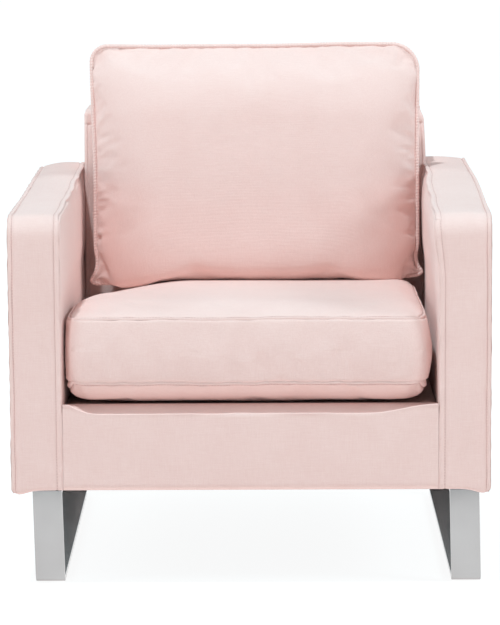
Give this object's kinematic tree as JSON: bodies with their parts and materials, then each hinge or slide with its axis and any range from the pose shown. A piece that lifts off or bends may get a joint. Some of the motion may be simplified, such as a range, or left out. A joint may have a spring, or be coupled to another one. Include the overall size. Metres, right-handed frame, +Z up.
{
  "type": "upholstered armchair",
  "caption": "Boxy upholstered armchair with a loose seat cushion, a loose piped back cushion and chromed flat-bar sled legs.",
  "frame": {"origin": "on the floor, at the middle of the chair's outer box", "axes": "+Z up; the chair faces -Y; +X is on the right of someone who looks at its front"},
  "size_m": [0.78, 0.74, 0.8461],
  "materials": {
    "pink_fabric": "plain-woven upholstery fabric, slightly slubbed",
    "lining": "plain lining cloth",
    "foam": "cut polyurethane foam",
    "fibre": "polyester fibre fill",
    "felt": "needled felt",
    "dust_cloth": "black non-woven cloth",
    "webbing": "elastic upholstery webbing",
    "wood": "planed pine, unfinished",
    "spring_steel": "bare spring wire",
    "zinc": "zinc-plated steel",
    "chrome": "polished chrome plate",
    "glide_plastic": "moulded, matt",
    "zip_tape": "woven zip tape"
  },
  "bodies": {
    "chair_body": {"apron_cover": "pink_fabric", "apron_foam": "foam", "arm_bottom_rail_left": "wood", "arm_bottom_rail_right": "wood", "arm_cover_left": "pink_fabric", "arm_cover_right": "pink_fabric", "arm_foam_left": "foam", "arm_foam_right": "foam", "arm_front_post_left": "wood", "arm_front_post_right": "wood", "arm_rear_post_left": "wood", "arm_rear_post_right": "wood", "arm_top_rail_left": "wood", "arm_top_rail_right": "wood", "back_cover": "pink_fabric", "back_foam": "foam", "back_lower_rail": "wood", "back_post_left": "wood", "back_post_right": "wood", "back_top_rail": "wood", "back_webbing_1": "webbing", "back_webbing_2": "webbing", "back_webbing_3": "webbing", "corner_block_front_left": "wood", "corner_block_front_right": "wood", "corner_block_rear_left": "wood", "corner_block_rear_right": "wood", "deck_cloth": "lining", "deck_pad": "felt", "dust_cover": "dust_cloth", "glide_front_left": "glide_plastic", "glide_front_right": "glide_plastic", "glide_rear_left": "glide_plastic", "glide_rear_right": "glide_plastic", "leg_screw_left_1": "zinc", "leg_screw_left_2": "zinc", "leg_screw_left_3": "zinc", "leg_screw_left_4": "zinc", "leg_screw_right_1": "zinc", "leg_screw_right_2": "zinc", "leg_screw_right_3": "zinc", "leg_screw_right_4": "zinc", "outside_back_panel": "pink_fabric", "seat_front_rail": "wood", "seat_rear_rail": "wood", "seat_spring_1": "spring_steel", "seat_spring_2": "spring_steel", "seat_spring_3": "spring_steel", "seat_spring_4": "spring_steel", "sled_leg_left": "chrome", "sled_leg_right": "chrome"},
    "seat_cushion": {"seat_cushion_cover": "pink_fabric", "seat_cushion_foam": "foam", "seat_zip_tape": "zip_tape"},
    "seat_zip_slider": {"seat_zip_slider": "zinc"},
    "back_cushion": {"back_cushion_cover": "pink_fabric", "back_cushion_fill": "fibre", "back_cushion_piping": "pink_fabric", "back_zip_tape": "zip_tape"},
    "back_zip_slider": {"back_zip_slider": "zinc"}
  },
  "joints": [
    {"name": "seat_cushion_slide", "type": "slide", "parent": "chair_body", "child": "seat_cushion", "axis": [0, -0.9994, 0.0349], "range_m": [0, 0.6]},
    {"name": "back_cushion_lift", "type": "slide", "parent": "chair_body", "child": "back_cushion", "axis": [0, 0, 1], "range_m": [0, 0.45]},
    {"name": "seat_zip_slide", "type": "slide", "parent": "seat_cushion", "child": "seat_zip_slider", "axis": [1, 0, 0], "range_m": [0, 0.455]},
    {"name": "back_zip_slide", "type": "slide", "parent": "back_cushion", "child": "back_zip_slider", "axis": [1, 0, 0], "range_m": [0, 0.315]}
  ]
}
